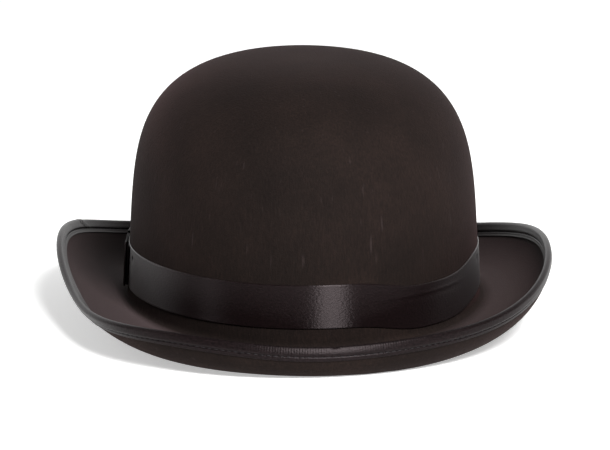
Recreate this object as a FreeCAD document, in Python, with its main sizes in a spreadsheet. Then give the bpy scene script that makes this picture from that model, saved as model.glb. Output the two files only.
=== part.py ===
"""Bowler hat: a stiff felt body with its bound brim, hat band, side bow, sweatband and lining.

Millimetres.  +Z is up, +Y is the wearer's front, so the bow is on the wearer's left, -X.
The origin is on the surface that the hat stands on, under the middle of the crown.
"""
import FreeCAD, Part
import math
import os

import Sketcher

V = FreeCAD.Vector
AROUND = 48                      # points that each ring of the hat is drawn through
WALL_SHARE = 0.965               # share of the oval where the crown's wall turns into its top
TOP_SHARES = (0.92, 0.86, 0.77, 0.64, 0.48, 0.3)
LEVEL_SHARE = 0.12               # share of the oval that the lining's flat middle takes
FOLD_TURNS = (30, 60, 90, 120, 150)

# name, value, what it measures
SIZES = [
    ("head_width", 160.0, "head opening across, inside the sweatband"),
    ("head_length", 200.0, "head opening front to back, inside the sweatband"),
    ("sweat_thick", 1.0, "sweatband leather"),
    ("sweat_slack", 1.1, "room between the sweatband's top edge and the felt"),
    ("sweat_foot", 6.2, "height of the sweatband's lower edge"),
    ("sweat_tall", 32.0, "sweatband height"),
    ("felt_thick", 2.2, "stiffened felt"),
    ("crown_foot", 9.15, "height at which the crown's taper starts"),
    ("crown_rise", 114.85, "crown height above crown_foot"),
    ("crown_taper", 0.062, "share of its width that the crown loses in its whole height"),
    ("crown_shoulder", 5.1, "how late and how tightly the crown turns into its top"),
    ("crown_round", 2.8, "how full the shoulder is"),
    ("button_half", 7.0, "half width of the crown's level top"),
    ("join_side", 9.15, "height of the brim's upper face at the crown, at the sides"),
    ("join_dip", 2.8, "how much lower that join is at the front and the back"),
    ("run_side", 13.2, "brim from the crown to the start of its curl, at the sides"),
    ("run_quarter", 17.7, "the same, at the quarters"),
    ("run_end", 27.0, "the same, at the front and the back"),
    ("slope_side", 13.5, "degrees that the run rises, at the sides"),
    ("slope_quarter", -7.6, "degrees, at the quarters"),
    ("slope_end", -8.4, "degrees, at the front and the back"),
    ("curl_side", 23.8, "radius of the curl, at the sides"),
    ("curl_quarter", 19.2, "radius of the curl, at the quarters"),
    ("curl_end", 9.0, "radius of the curl, at the front and the back"),
    ("sweep_side", 70.0, "degrees that the curl turns, at the sides"),
    ("sweep_quarter", 87.5, "degrees, at the quarters"),
    ("sweep_end", 113.0, "degrees, at the front and the back"),
    ("binding_thick", 0.6, "binding ribbon with its padded turn"),
    ("binding_wide", 5.6, "binding on each face of the brim"),
    ("binding_reach", 0.9, "binding's turn past the felt's edge"),
    ("stitch_back", 4.2, "binding's line of stitches, back from the felt's edge"),
    ("thread_wide", 0.5, "sewing thread as it lies in its groove"),
    ("band_foot", 15.2, "height of the hat band's lower edge"),
    ("band_wide", 20.0, "hat band ribbon width"),
    ("band_thick", 0.5, "hat band ribbon, as it lies"),
    ("side_radius", 129.5, "radius of the oval at the sides, which the bow is bent to"),
    ("bow_long", 62.0, "bow, loop end to loop end"),
    ("bow_tall", 21.5, "bow loops' height"),
    ("bow_foot", 14.2, "height of the bow's lower edge"),
    ("bow_forward", 21.0, "bow's middle forward of the side, along the band"),
    ("loop_thick", 1.6, "a flattened loop, two layers and its air"),
    ("tail_long", 70.0, "the layer under the loops, end to end"),
    ("tail_thick", 0.5, "the layer under the loops"),
    ("knot_long", 13.0, "the wrap over the bow's middle"),
    ("knot_thick", 0.6, "the wrap's ribbon"),
    ("tack_long", 2.4, "tack stitch"),
    ("tack_turn", 13.0, "degrees from the sides to the tack stitches"),
    ("tack_drop", 4.0, "tack stitches below the band's upper edge"),
    ("lining_thick", 0.4, "satin lining"),
    ("lining_gap", 0.2, "room between the lining and the felt"),
    ("lining_foot", 29.8, "height of the lining's lower edge, behind the sweatband"),
    ("lining_seam", 97.8, "height of the seam between the lining's side and tip"),
    ("piping_thick", 1.8, "piping in that seam"),
    ("inner_bow_long", 20.0, "small bow on the sweatband's back"),
    ("inner_bow_tall", 7.0, "its height"),
    ("inner_bow_thick", 1.2, "its thickness"),
    ("seam_up", 2.5, "sweatband seam above the sweatband's lower edge"),
]

doc = FreeCAD.newDocument("bowler_hat")
sheet = doc.addObject("Spreadsheet::Sheet", "Sizes")
for row, (name, value, meaning) in enumerate(SIZES, start=1):
    sheet.set(f"A{row}", meaning)
    sheet.set(f"B{row}", str(value))
    sheet.setAlias(f"B{row}", name)
doc.recompute()


def size(name):
    return float(sheet.get(name))


FELT = size("felt_thick")
OUTER_X = size("head_width") / 2 + size("sweat_thick") + size("sweat_slack") + FELT
OUTER_Y = size("head_length") / 2 + size("sweat_thick") + size("sweat_slack") + FELT
CROWN_FOOT = size("crown_foot")
CROWN_RISE = size("crown_rise")
HALF_X = ("(Sizes.head_width / 2 + Sizes.sweat_thick + Sizes.sweat_slack + Sizes.felt_thick)")
HALF_Y = HALF_X.replace("head_width", "head_length")


# ---- the hat's two surfaces ------------------------------------------------------------------

def crown_share(height, inset=0.0):
    """Share of the oval's width that the crown has at a height; inset lowers its top."""
    part = max(height - CROWN_FOOT, 0.0) / (CROWN_RISE - inset)
    closing = 1 - part ** size("crown_shoulder")
    return (1 - size("crown_taper") * part) * max(closing, 0.0) ** (1 / size("crown_round"))


def crown_height(share, inset=0.0):
    """Height at which the crown has narrowed to a share of its width."""
    low = CROWN_FOOT
    high = CROWN_FOOT + CROWN_RISE - inset
    for halving in range(50):
        middle = (low + high) / 2
        if crown_share(middle, inset) > share:
            low = middle
        else:
            high = middle
    return low


def crown_point(phi, height, inset=0.0):
    share = crown_share(height, inset)
    x = (OUTER_X - inset) * share * math.cos(phi)
    y = (OUTER_Y - inset) * share * math.sin(phi)
    return V(x, y, height)


def brim_measure(phi, name):
    """A brim measure at an angle, from its values at the sides, quarters and ends."""
    side, quarter, end = [size(f"{name}_{place}") for place in ("side", "quarter", "end")]
    mean = (side + end) / 4 + quarter / 2
    swing = (side - end) / 2
    fourth = (side + end) / 4 - quarter / 2
    return mean + swing * math.cos(2 * phi) + fourth * math.cos(4 * phi)


def join_height(phi):
    return size("join_side") - size("join_dip") * math.sin(phi) ** 2


def brim_arc(phi):
    """Length of the brim's upper face from the crown to the rim."""
    curl = brim_measure(phi, "curl")
    return brim_measure(phi, "run") + curl * math.radians(brim_measure(phi, "sweep"))


def brim_point(phi, along, under=0.0):
    """Point of the brim, a way along it from the crown and a depth under its upper face."""
    run = brim_measure(phi, "run")
    slope = math.radians(brim_measure(phi, "slope"))
    curl = brim_measure(phi, "curl")
    sweep = math.radians(brim_measure(phi, "sweep"))
    turned = min(max(along - run, 0.0) / curl, sweep)
    angle = slope + turned
    straight = min(along, run)
    past = max(along - run - curl * sweep, 0.0)
    out = straight * math.cos(slope) + curl * (math.sin(angle) - math.sin(slope))
    up = straight * math.sin(slope) + curl * (math.cos(slope) - math.cos(angle))
    out += past * math.cos(angle) + under * math.sin(angle)
    up += past * math.sin(angle) - under * math.cos(angle)
    nx = math.cos(phi) / OUTER_X
    ny = math.sin(phi) / OUTER_Y
    n = math.hypot(nx, ny)
    x = OUTER_X * math.cos(phi) + out * nx / n
    y = OUTER_Y * math.sin(phi) + out * ny / n
    return V(x, y, join_height(phi) + up)


# ---- solids made of rings --------------------------------------------------------------------

def ring(point_at):
    """Closed smooth wire through the points that point_at gives for the angles all round."""
    points = [point_at(2 * math.pi * k / AROUND) for k in range(AROUND)]
    curve = Part.BSplineCurve()
    curve.interpolate(Points=points, PeriodicFlag=True)
    return Part.Wire([curve.toShape()])


def skin(rings):
    """Faces through the rings: straight across between two, smooth through more."""
    if len(rings) == 2:
        return Part.makeRuledSurface(rings[0].Edges[0], rings[1].Edges[0]).Faces
    return Part.makeLoft(rings, False, False).Faces


def solid_of(faces):
    shell = Part.makeShell(faces)
    shell.sewShape()
    solid = Part.makeSolid(shell)
    if solid.Volume < 0:
        solid.reverse()
    return solid


def ring_solid(sides):
    """Solid whose closed section has these sides, each a list of rings; ends are shared."""
    faces = []
    for side in sides:
        faces += skin(side)
    return solid_of(faces)


def strip_solid(corners):
    """Solid whose closed section runs straight from each ring to the next and back again."""
    return ring_solid([[corners[k - 1], corners[k]] for k in range(len(corners))])


def capped_solid(sides):
    """Solid whose section starts and ends on the axis: its first and last ring are capped."""
    faces = []
    for side in sides:
        faces += skin(side)
    faces.append(Part.Face(sides[0][0]))
    faces.append(Part.Face(sides[-1][-1]))
    return solid_of(faces)


def spread(start, stop, count):
    return [start + (stop - start) * k / (count - 1) for k in range(count)]


def feature(label, shape):
    made = doc.addObject("Part::Feature", label)
    made.Label = label
    made.Shape = shape
    made.Placement = FreeCAD.Placement()
    return made


# ---- felt body -------------------------------------------------------------------------------

def crown_rings(foot_height, inset):
    """Rings from just above the crown's foot to the edge of its level top."""
    wall_top = crown_height(WALL_SHARE, inset)

    def wall_ring(way):
        def at(phi):
            foot = foot_height(phi)
            return crown_point(phi, foot + way * (wall_top - foot), inset)
        return ring(at)

    shares = TOP_SHARES + (size("button_half") / OUTER_X,)
    heights = [crown_height(share, inset) for share in shares]
    walls = [wall_ring(way) for way in spread(0.0, 1.0, 7)[1:]]
    return walls + [ring(lambda phi, z=z: crown_point(phi, z, inset)) for z in heights]


def felt_body():
    """Crown and brim, blocked from one piece of felt."""
    outside_foot = ring(lambda phi: brim_point(phi, 0.0))
    inside_foot = ring(lambda phi: brim_point(phi, -FELT, FELT))
    outside = crown_rings(join_height, 0.0)
    inside = crown_rings(lambda phi: brim_point(phi, -FELT, FELT).z, FELT)
    steps = spread(0.0, 1.0, 11)[1:]
    upper = [ring(lambda phi, s=s: brim_point(phi, s * brim_arc(phi))) for s in steps]
    lower = [ring(lambda phi, s=s: brim_point(phi, s * (brim_arc(phi) + FELT) - FELT, FELT))
             for s in steps]
    sides = [
        outside[::-1] + [outside_foot],
        [outside_foot] + upper,
        [upper[-1], lower[-1]],
        lower[::-1] + [inside_foot],
        [inside_foot] + inside,
    ]
    return feature("felt_body", capped_solid(sides))


# ---- brim binding and its thread -------------------------------------------------------------

def brim_binding():
    thick = size("binding_thick")
    wide = size("binding_wide")
    reach = size("binding_reach")

    def at(back, under):
        return ring(lambda phi: brim_point(phi, brim_arc(phi) - back, under))

    def turn(angle):
        return at(-reach * math.sin(angle), FELT / 2 - (FELT / 2 + thick) * math.cos(angle))

    backs = spread(wide, 0.0, 4)
    above = [at(back, -thick) for back in backs]
    fold = [turn(math.radians(angle)) for angle in FOLD_TURNS]
    below = [at(back, FELT + thick) for back in backs[::-1]]
    inner_below = [at(back, FELT) for back in backs]
    inner_above = [at(back, 0.0) for back in backs[::-1]]
    section = above + fold + below + inner_below + inner_above
    return feature("brim_binding", strip_solid(section))


def thread_ring(back, under, outward):
    """One line of thread round the brim: a small section that stands outward from a face."""
    half = size("thread_wide") / 2
    rise = outward * half

    def at(way, depth):
        return ring(lambda phi: brim_point(phi, brim_arc(phi) - back + way, under + depth))

    return strip_solid([at(-half, 0.0), at(half, 0.0), at(half, rise), at(-half, rise)])


def binding_stitching():
    back = size("stitch_back")
    thick = size("binding_thick")
    upper = thread_ring(back, -thick, -1)
    lower = thread_ring(back, FELT + thick, 1)
    return feature("binding_stitching", Part.makeCompound([upper, lower]))


# ---- lining ----------------------------------------------------------------------------------

def lining_sheet(heights):
    """Closed sheet inside the crown, through rings at these heights."""
    near = FELT + size("lining_gap")
    far = near + size("lining_thick")
    outer = [ring(lambda phi, z=z: crown_point(phi, z, near)) for z in heights]
    inner = [ring(lambda phi, z=z: crown_point(phi, z, far)) for z in heights]
    return outer, inner


def lining_side():
    outer, inner = lining_sheet(spread(size("lining_foot"), size("lining_seam"), 5))
    sides = [outer, [outer[-1], inner[-1]], inner[::-1], [inner[0], outer[0]]]
    return feature("lining_side", ring_solid(sides))


def lining_tip():
    near = FELT + size("lining_gap")
    far = near + size("lining_thick")
    seam = size("lining_seam")
    shares = spread(crown_share(seam, near), LEVEL_SHARE, 7)
    outer = [ring(lambda phi, z=crown_height(s, near): crown_point(phi, z, near)) for s in shares]
    shares = spread(crown_share(seam, far), LEVEL_SHARE, 7)
    inner = [ring(lambda phi, z=crown_height(s, far): crown_point(phi, z, far)) for s in shares]
    sides = [outer[::-1], [outer[0], inner[0]], inner]
    return feature("lining_tip", capped_solid(sides))


def lining_piping():
    half = size("piping_thick") / 2
    inset = FELT + size("lining_gap") + size("lining_thick")
    seam = size("lining_seam")

    def at(inward, rise):
        return ring(lambda phi: crown_point(phi, seam, inset) + V(
            -inward * math.cos(phi), -inward * math.sin(phi), rise))

    corners = [at(0.0, -half), at(2 * half, -half), at(2 * half, half), at(0.0, half)]
    return feature("lining_piping", strip_solid(corners))


# ---- bodies with sketches --------------------------------------------------------------------

def new_body(label):
    body = doc.addObject("PartDesign::Body", label)
    body.Label = label
    return body


def plane_of(body, role):
    for plane in body.Origin.OriginFeatures:
        if plane.Role == role:
            return plane
    raise ValueError(role)


def sketch_on(body, name, role, lift):
    """Sketch on a plane of its body's origin, moved along its normal by an expression."""
    made = body.newObject("Sketcher::SketchObject", name)
    made.AttachmentSupport = (plane_of(body, role), "")
    made.MapMode = "FlatFace"
    made.setExpression("AttachmentOffset.Base.z", lift)
    return made


def draw_oval(sketch, half_x, half_y):
    """Oval about the origin, its two half widths bound to expressions."""
    start = Part.Ellipse(V(0, 90, 0), V(-70, 0, 0), V(0, 0, 0))
    oval = sketch.addGeometry(start, False)
    sketch.exposeInternalGeometry(oval)
    long_axis = oval + 1
    short_axis = oval + 2
    sketch.addConstraint(Sketcher.Constraint("Coincident", oval, 3, -1, 1))
    sketch.addConstraint(Sketcher.Constraint("Vertical", long_axis))
    length = sketch.addConstraint(Sketcher.Constraint("Distance", long_axis, 180))
    width = sketch.addConstraint(Sketcher.Constraint("Distance", short_axis, 140))
    sketch.setExpression(f"Constraints[{length}]", f"2 * ({half_y})")
    sketch.setExpression(f"Constraints[{width}]", f"2 * ({half_x})")


def share_at(height):
    """Expression for the share of its width that the straight wall has at a height."""
    return f"(1 - Sizes.crown_taper * ({height} - Sizes.crown_foot) / Sizes.crown_rise)"


def oval_band(label, foot, tall, outside, inside):
    """Band round the oval. outside and inside are how far its two faces lie in from the
    felt's outer oval, each as expressions for the foot and the top."""
    body = new_body(label)
    heights = (foot, f"({foot}) + ({tall})")
    lofts = []
    for kind, insets in (("AdditiveLoft", outside), ("SubtractiveLoft", inside)):
        ovals = []
        for place, height, inset in zip(("foot", "top"), heights, insets):
            name = f"{label}_{kind}_{place}"
            made = sketch_on(body, name, "XY_Plane", height)
            share = share_at(f"({height})")
            draw_oval(made, f"{HALF_X} * {share} - ({inset})", f"{HALF_Y} * {share} - ({inset})")
            ovals.append(made)
        doc.recompute()
        loft = body.newObject(f"PartDesign::{kind}", f"{label}_{kind}")
        loft.Profile = ovals[0]
        loft.Sections = [ovals[1]]
        doc.recompute()
        lofts.append(loft)
    expect_less(label, lofts[1], lofts[0])
    return body


def expect_less(label, after, before):
    if after.Shape.Volume >= before.Shape.Volume:
        raise RuntimeError(f"{label}: nothing was cut away")


def hat_band():
    face = "-Sizes.band_thick"
    return oval_band("hat_band", "Sizes.band_foot", "Sizes.band_wide", (face, face), ("0", "0"))


def sweatband():
    top = "Sizes.felt_thick + Sizes.sweat_slack"
    outside = ("Sizes.felt_thick", top)
    inside = ("Sizes.felt_thick + Sizes.sweat_thick", f"{top} + Sizes.sweat_thick")
    return oval_band("sweatband", "Sizes.sweat_foot", "Sizes.sweat_tall", outside, inside)


def sweatband_stitching():
    lean = "Sizes.sweat_slack * Sizes.seam_up / Sizes.sweat_tall"
    face = f"Sizes.felt_thick + Sizes.sweat_thick + {lean}"
    inner = f"{face} + 0.8 * Sizes.thread_wide"
    foot = "Sizes.sweat_foot + Sizes.seam_up"
    return oval_band("sweatband_stitching", foot, "Sizes.thread_wide", (face, face),
                     (inner, inner))


# ---- side bow --------------------------------------------------------------------------------

BOW_SHARE = crown_share(size("bow_foot"))
BOW_LEAN = math.degrees(math.atan(size("crown_taper") * OUTER_X / CROWN_RISE))
BOW_SEAT = FreeCAD.Placement(
    V(-OUTER_X * BOW_SHARE - size("band_thick"), 0, 0), FreeCAD.Rotation(V(0, 1, 0), BOW_LEAN))
BOW_SEAT.Base += V(size("bow_foot") * -math.sin(math.radians(BOW_LEAN)), 0, 0)
BOW_CENTRE = V(size("side_radius") - OUTER_X * BOW_SHARE - size("band_thick"), 0, 0)
BOW_TURN = FreeCAD.Rotation(V(0, 0, 1), -math.degrees(size("bow_forward") / size("side_radius")))
BOW_SEAT = FreeCAD.Placement(V(0, 0, 0), BOW_TURN, BOW_CENTRE) * BOW_SEAT


def arc_sketch(body, name, lift, length, near, far):
    """Strip bent round the hat's side: its two faces lie near and far out from the band."""
    made = sketch_on(body, name, "XY_Plane", lift)
    radius = size("side_radius")
    half = 0.2
    centre = V(radius, 0, 0)
    inner = Part.Circle(centre, V(0, 0, 1), radius + 0.1)
    outer = Part.Circle(centre, V(0, 0, 1), radius + 2.0)
    arcs = [made.addGeometry(Part.ArcOfCircle(c, math.pi - half, math.pi + half), False)
            for c in (inner, outer)]
    ends = []
    for corner in (1, 2):
        first = made.getPoint(arcs[0], corner)
        last = made.getPoint(arcs[1], corner)
        end = made.addGeometry(Part.LineSegment(first, last), False)
        made.addConstraint(Sketcher.Constraint("Coincident", end, 1, arcs[0], corner))
        made.addConstraint(Sketcher.Constraint("Coincident", end, 2, arcs[1], corner))
        made.addConstraint(Sketcher.Constraint("PointOnObject", arcs[0], 3, end))
        ends.append(end)
    made.addConstraint(Sketcher.Constraint("Coincident", arcs[0], 3, arcs[1], 3))
    made.addConstraint(Sketcher.Constraint("PointOnObject", arcs[0], 3, -1))
    made.addConstraint(Sketcher.Constraint("Symmetric", arcs[0], 1, arcs[0], 2, -1))
    sizes = (
        (("DistanceX", -1, 1, arcs[0], 3, radius), "Sizes.side_radius"),
        (("Radius", arcs[0], radius + 0.1), f"Sizes.side_radius + ({near})"),
        (("Radius", arcs[1], radius + 2.0), f"Sizes.side_radius + ({far})"),
        (("DistanceY", arcs[0], 2, arcs[0], 1, 52.0), length),
    )
    for constraint, expression in sizes:
        index = made.addConstraint(Sketcher.Constraint(*constraint))
        made.setExpression(f"Constraints[{index}]", expression)
    return made


def bow_strip(label, lift, tall, length, near, far):
    body = new_body(label)
    profile = arc_sketch(body, f"{label}_plan", lift, length, near, far)
    doc.recompute()
    pad = body.newObject("PartDesign::Pad", f"{label}_pad")
    pad.Profile = profile
    pad.setExpression("Length", tall)
    doc.recompute()
    body.Placement = BOW_SEAT
    return body, pad


def bow_tails():
    return bow_strip("bow_tails", "Sizes.bow_foot + 1", "Sizes.bow_tall - 2",
                     "Sizes.tail_long", "0", "Sizes.tail_thick")[0]


def bow_loops():
    near = "Sizes.tail_thick"
    return bow_strip("bow_loops", "Sizes.bow_foot", "Sizes.bow_tall", "Sizes.bow_long",
                     near, f"{near} + Sizes.loop_thick")[0]


def bow_knot():
    inner = "Sizes.tail_thick + Sizes.loop_thick"
    body, pad = bow_strip("bow_knot", "Sizes.bow_foot - Sizes.knot_thick",
                          "Sizes.bow_tall + 2 * Sizes.knot_thick", "Sizes.knot_long", "0",
                          f"{inner} + Sizes.knot_thick")
    hollow = arc_sketch(body, "bow_knot_hollow", "Sizes.bow_foot", "Sizes.knot_long + 4", "-1",
                        inner)
    doc.recompute()
    pocket = body.newObject("PartDesign::Pocket", "bow_knot_pocket")
    pocket.Profile = hollow
    pocket.Reversed = True
    pocket.setExpression("Length", "Sizes.bow_tall")
    doc.recompute()
    expect_less("bow_knot", pocket, pad)
    return body


# ---- small sewn pieces -----------------------------------------------------------------------

def band_tacks():
    """Two tack stitches that hold the band to the felt, one near each side at the back."""
    height = size("band_foot") + size("band_wide") - size("tack_drop") - size("tack_long") / 2
    share = crown_share(height)
    tacks = []
    for name, turn in (("left", 180 + size("tack_turn")), ("right", -size("tack_turn"))):
        tack = doc.addObject("Part::Cylinder", f"tack_{name}")
        tack.setExpression("Radius", "Sizes.thread_wide / 2")
        tack.setExpression("Height", "Sizes.tack_long")
        angle = math.radians(turn)
        out = size("band_thick")
        tack.Placement.Base = V((OUTER_X * share + out) * math.cos(angle),
                                (OUTER_Y * share + out) * math.sin(angle), height)
        tacks.append(tack)
    pair = doc.addObject("Part::Compound", "band_tacks")
    pair.Label = "band_tacks"
    pair.Links = tacks
    return pair


def sweatband_bow():
    """Small flat bow over the sweatband's joint, at the wearer's back."""
    inset = FELT + size("sweat_slack") + size("sweat_thick")
    middle = size("sweat_foot") + 0.62 * size("sweat_tall")
    face = -(OUTER_Y - inset) * crown_share(middle) + 0.1
    pieces = []
    shapes = (
        ("loops", "Sizes.inner_bow_long", "Sizes.inner_bow_tall", "0.6 * Sizes.inner_bow_thick"),
        ("wrap", "Sizes.inner_bow_long / 6", "Sizes.inner_bow_tall * 0.8", "Sizes.inner_bow_thick"),
    )
    for name, long, tall, thick in shapes:
        box = doc.addObject("Part::Box", f"sweatband_bow_{name}")
        box.setExpression("Length", long)
        box.setExpression("Width", thick)
        box.setExpression("Height", tall)
        box.setExpression("Placement.Base.x", f"-({long}) / 2")
        box.setExpression("Placement.Base.y", str(round(face, 3)))
        box.setExpression("Placement.Base.z", f"{middle} - ({tall}) / 2")
        pieces.append(box)
    fused = doc.addObject("Part::MultiFuse", "sweatband_bow")
    fused.Label = "sweatband_bow"
    fused.Shapes = pieces
    return fused


# ---- build, check and write ------------------------------------------------------------------

MAKERS = (
    felt_body, brim_binding, binding_stitching, hat_band, bow_tails, bow_loops, bow_knot,
    band_tacks, sweatband, sweatband_stitching, sweatband_bow, lining_side, lining_tip,
    lining_piping,
)
parts = [maker() for maker in MAKERS]
doc.recompute()

for item in doc.Objects:
    if "Invalid" in item.State or "Error" in item.State:
        raise RuntimeError(f"{item.Name}: {item.State}")
os.makedirs("parts", exist_ok=True)
for part in parts:
    shape = part.Shape
    if shape.isNull() or not shape.isValid() or shape.Volume <= 0:
        raise RuntimeError(f"{part.Label}: bad shape")
    shape.exportStep(f"parts/{part.Label}.step")
    box = shape.BoundBox
    print(f"{part.Label}: {len(shape.Solids)} solid, {shape.Volume:.0f} mm3, "
          f"{box.XLength:.1f} x {box.YLength:.1f} x {box.ZLength:.1f}, foot {box.ZMin:.2f}")
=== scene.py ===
import math

import bmesh
import bpy
import numpy as np
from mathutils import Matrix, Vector


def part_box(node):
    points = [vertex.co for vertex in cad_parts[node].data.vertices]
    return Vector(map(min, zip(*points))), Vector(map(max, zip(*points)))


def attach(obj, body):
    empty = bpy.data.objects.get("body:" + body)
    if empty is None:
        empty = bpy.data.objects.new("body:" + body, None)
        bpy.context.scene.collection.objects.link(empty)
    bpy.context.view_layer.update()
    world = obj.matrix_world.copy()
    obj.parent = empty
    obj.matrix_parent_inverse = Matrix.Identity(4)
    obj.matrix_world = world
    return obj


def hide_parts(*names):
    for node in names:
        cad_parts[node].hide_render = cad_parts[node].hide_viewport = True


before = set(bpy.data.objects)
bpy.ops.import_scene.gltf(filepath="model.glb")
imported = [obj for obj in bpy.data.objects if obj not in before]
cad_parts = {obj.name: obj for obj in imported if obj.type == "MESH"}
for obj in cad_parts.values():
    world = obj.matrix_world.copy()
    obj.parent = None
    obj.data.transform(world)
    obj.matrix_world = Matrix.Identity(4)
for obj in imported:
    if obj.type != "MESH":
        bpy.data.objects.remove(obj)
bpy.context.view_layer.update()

MM = 0.001
TURN = 2 * math.pi

# ---- driving sizes, mm -----------------------------------------------------------------------

FELT = 2.2                                    # stiffened felt
OUTER = (84.3, 104.3)                         # half widths of the felt's oval at the brim
CROWN_FOOT = 9.15
CROWN_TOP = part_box("felt_body")[1].z / MM
CROWN_RISE = CROWN_TOP - CROWN_FOOT
CROWN_TAPER = 0.062                           # share of its width that the wall leans in
CROWN_SHOULDER = 5.1                          # power by height: higher is squarer
CROWN_ROUND = 2.8                             # power by width: 2 is round
WALL_SHARE = 0.965                            # share of the oval where the wall turns inward
POLE_SHARE = 0.012                            # share at the last ring round the top's middle
JOIN_SIDE = 9.15                              # height where crown meets brim at the sides
JOIN_DIP = 2.8                                # how much lower it is at the front and back
RUN = (13.2, 17.7, 27.0)                      # each brim measure: sides, quarters, ends
SLOPE = (13.5, -7.6, -8.4)
CURL = (23.8, 19.2, 9.0)
SWEEP = (70.0, 87.5, 113.0)
# How this hat's brim, curled by hand, departs from those: shares of cos, sin, sin 2, cos 3,
# sin 3 and sin 4 round the hat. A least-squares fit to the real hat's outline gave them.
RUN_SWAY = (-0.86, 1.22, 2.15, 0.96, -0.60, -1.44)
SLOPE_SWAY = (-1.04, 0.42, 3.22, 0.84, -0.41, -0.89)
CURL_SWAY = (-3.15, -0.40, -2.35, 0.74, -1.31, 0.83)
SWEEP_SWAY = (14.41, 0.45, -1.46, -1.01, 10.08, -5.85)

RIM_LONG = 850                                # once round the rim
BINDING_WIDE = 5.6                            # on the brim's upper face
UNDER_WIDE = 4.3                              # on its under face
BINDING_REACH = 0.9                           # its turn past the felt's edge
BINDING_PUFF = 0.4                            # how far the turn stands off past that
BINDING_TUCK = 3.0                            # width of its hidden face against the felt
SELVEDGE = 2.1                                # flat strip outside the binding's seam, above
UNDER_SELVEDGE = 1.5
FOLD_LIFT = 0.42                              # ribbon's height over the felt at its fold
LAP_AT = 149.5                                # degrees round the rim where its ends lap
LAP_LONG = 9                                  # degrees that the lap takes up
KINK_AT = 274.5                               # degrees round to a small kink in its turn
STITCH_PITCH = 3.0
STITCH_LONG = 2.2
STITCH_THICK = 0.34
STITCH_RISE = 0.22                            # height of the thread's middle over the felt
STITCH_PULL = 0.07                            # how far a stitch draws the ribbon down
BAND_WIDE = 20.0
BAND_THICK = 0.5
BAND_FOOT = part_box("hat_band")[0].z / MM
SLIP = 4.8                                    # how far the band has slipped down at the most
SLIP_AT = -45                                 # degrees round to the middle of that stretch
WRINKLE_AT = -49
WRINKLE_UP = 11.1                             # height of the wrinkle over the band's foot
TACK_AT = 13                                  # degrees behind each side where it is tacked
TACK_UP = 15.2
TACK_PULL = 0.4                               # depth of the dimple there
SIDE_RADIUS = 129.5                           # radius of the oval at its sides
SWEAT_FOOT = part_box("sweatband")[0].z / MM
SWEAT_TALL = 32.0
SWEAT_THICK = 1.0
SWEAT_SLACK = 1.1                             # room between its top edge and the felt
SWEAT_SEAM = 2.7                              # height of its stitches over its foot
SWEAT_HALF = 82.0                             # half its width, side to side
LINING_GAP = 0.2
LINING_THICK = 0.4
LINING_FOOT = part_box("lining_side")[0].z / MM
LINING_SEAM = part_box("lining_side")[1].z / MM
PIPING = 1.8
BACK = -math.pi / 2                           # angle of the wearer's back


# ---- the hat's surfaces ----------------------------------------------------------------------

def brim_measure(phi, sizes, sway):
    """A brim measure at an angle, from its values at the sides, quarters and ends."""
    side, quarter, end = sizes
    mean = (side + end) / 4 + quarter / 2
    fourth = (side + end) / 4 - quarter / 2
    even = mean + (side - end) / 2 * np.cos(2 * phi) + fourth * np.cos(4 * phi)
    waves = (np.cos(phi), np.sin(phi), np.sin(2 * phi), np.cos(3 * phi), np.sin(3 * phi),
             np.sin(4 * phi))
    return even + sum(size * wave for size, wave in zip(sway, waves))


def signed_degrees(phi):
    """An angle in degrees, from -180 to 180."""
    return np.degrees(np.arctan2(np.sin(phi), np.cos(phi)))


def oval_normal(phi):
    """Outward way, square to the felt's oval."""
    nx = np.cos(phi) / OUTER[0]
    ny = np.sin(phi) / OUTER[1]
    n = np.hypot(nx, ny)
    return nx / n, ny / n


def join_height(phi):
    """Height of the corner between crown and brim."""
    return JOIN_SIDE - JOIN_DIP * np.sin(phi) ** 2


def crown_share(height, inset=0.0):
    """Share of the oval's width that the crown has at a height."""
    part = np.maximum(height - CROWN_FOOT, 0.0) / (CROWN_RISE - inset)
    closing = np.maximum(1 - np.minimum(part, 1.0) ** CROWN_SHOULDER, 0.0)
    return (1 - CROWN_TAPER * part) * closing ** (1 / CROWN_ROUND)


def crown_height(share, inset=0.0):
    """Height at which the crown has narrowed to a share of its width."""
    low = np.full_like(np.asarray(share, float), CROWN_FOOT)
    high = np.full_like(low, CROWN_FOOT + CROWN_RISE - inset)
    for _ in range(50):
        middle = (low + high) / 2
        wide = crown_share(middle, inset) > share
        low = np.where(wide, middle, low)
        high = np.where(wide, high, middle)
    return low


def place(x, y, z):
    """Points from their three parts, spread to one shape."""
    return np.stack(np.broadcast_arrays(x, y, z), -1)


def unevenness(phi, height):
    """Slow swells of blocked felt, a few tenths of a millimetre."""
    up = np.clip((height - 40) / 50, 0, 1)
    return up * (0.35 * np.sin(2 * phi + 0.6 + height / 60) + 0.3 * np.sin(3 * phi - height / 45)
                 + 0.2 * np.sin(5 * phi + height / 30))


def crown_point(phi, height, inset=0.0, share=None):
    """Point on the crown; share is given where the height hardly tells the width."""
    part = crown_share(height, inset) if share is None else share
    swell = unevenness(phi, height) * part
    x = ((OUTER[0] - inset) * part + swell) * np.cos(phi)
    y = ((OUTER[1] - inset) * part + swell) * np.sin(phi)
    return place(x, y, height)


def brim_arc(phi):
    """Length of the brim's upper face from the crown to the rim."""
    curl = brim_measure(phi, CURL, CURL_SWAY)
    return brim_measure(phi, RUN, RUN_SWAY) + curl * np.radians(
        brim_measure(phi, SWEEP, SWEEP_SWAY))


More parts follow.
